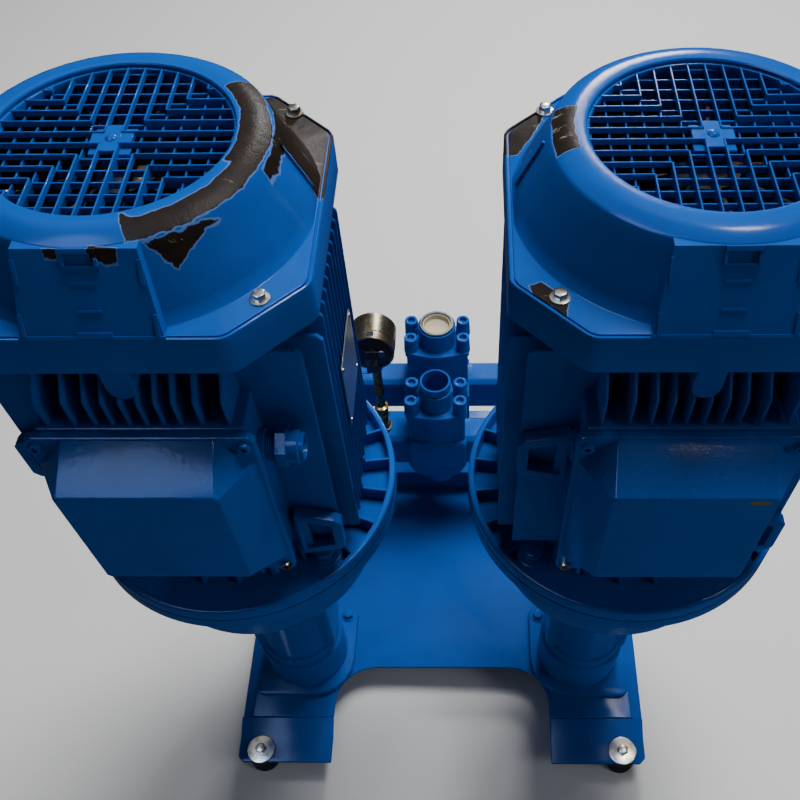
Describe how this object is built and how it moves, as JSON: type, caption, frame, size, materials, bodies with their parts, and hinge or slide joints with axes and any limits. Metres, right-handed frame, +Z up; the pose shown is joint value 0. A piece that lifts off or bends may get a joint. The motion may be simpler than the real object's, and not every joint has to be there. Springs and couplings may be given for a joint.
{
  "type": "duplex industrial transfer pump",
  "caption": "Industrial transfer pump unit: vertical motors on bell housings and screw pumps, on a sheet base with rubber mounts and port manifolds.",
  "frame": {"origin": "on the floor, under the middle of the object's box", "axes": "+Z up along the motors, -Y towards the terminal boxes (the front), +X towards the right-hand pump"},
  "size_m": [0.698, 0.6503, 0.8735],
  "materials": {
    "blue_enamel": "glossy blue enamel, worn to brown-black at edges",
    "fan_plastic": "dark moulded plastic",
    "bare_steel": "blank brushed plate",
    "brushed_steel": "brushed case with a dark red-brown back",
    "brass": "turned brass",
    "black_rubber": "matt black rubber",
    "beige_plastic": "matt beige protective cap"
  },
  "bodies": {
    "pump_unit": {"base_deck": "blue_enamel", "bell_housing_left": "blue_enamel", "bell_housing_right": "blue_enamel", "cable_gland_left": "blue_enamel", "cable_gland_right": "blue_enamel", "discharge_manifold": "blue_enamel", "discharge_pipe_left": "blue_enamel", "discharge_pipe_right": "blue_enamel", "discharge_port": "blue_enamel", "fan_cover_left": "blue_enamel", "fan_cover_right": "blue_enamel", "fan_grille_left": "blue_enamel", "fan_grille_right": "blue_enamel", "foot_front_left": "blue_enamel", "foot_front_right": "blue_enamel", "foot_rear_left": "blue_enamel", "foot_rear_right": "blue_enamel", "gauge_case": "brushed_steel", "gauge_stem": "brass", "lifting_eye_lower_left": "blue_enamel", "lifting_eye_lower_right": "blue_enamel", "lifting_eye_upper_left": "blue_enamel", "lifting_eye_upper_right": "blue_enamel", "motor_flange_left": "blue_enamel", "motor_flange_right": "blue_enamel", "motor_frame_left": "blue_enamel", "motor_frame_right": "blue_enamel", "nameplate_left": "bare_steel", "nameplate_right": "bare_steel", "pump_body_left": "blue_enamel", "pump_body_right": "blue_enamel", "pump_foot_left": "blue_enamel", "pump_foot_right": "blue_enamel", "rear_shelf": "blue_enamel", "rubber_mount_front_left": "black_rubber", "rubber_mount_front_right": "black_rubber", "rubber_mount_rear_left": "black_rubber", "rubber_mount_rear_right": "black_rubber", "suction_cap": "beige_plastic", "suction_manifold": "blue_enamel", "suction_pipe_left": "blue_enamel", "suction_pipe_right": "blue_enamel", "suction_port": "blue_enamel", "terminal_box_left": "blue_enamel", "terminal_box_right": "blue_enamel", "terminal_lid_left": "blue_enamel", "terminal_lid_right": "blue_enamel"},
    "fan_left": {"cooling_fan_left": "fan_plastic"},
    "fan_right": {"cooling_fan_right": "fan_plastic"}
  },
  "joints": [
    {"name": "fan_spin_left", "type": "hinge", "parent": "pump_unit", "child": "fan_left", "pos_m": [-0.193, -0.15, 0.806], "axis": [0, 0, 1], "continuous": true},
    {"name": "fan_spin_right", "type": "hinge", "parent": "pump_unit", "child": "fan_right", "pos_m": [0.193, -0.15, 0.806], "axis": [0, 0, 1], "continuous": true}
  ]
}
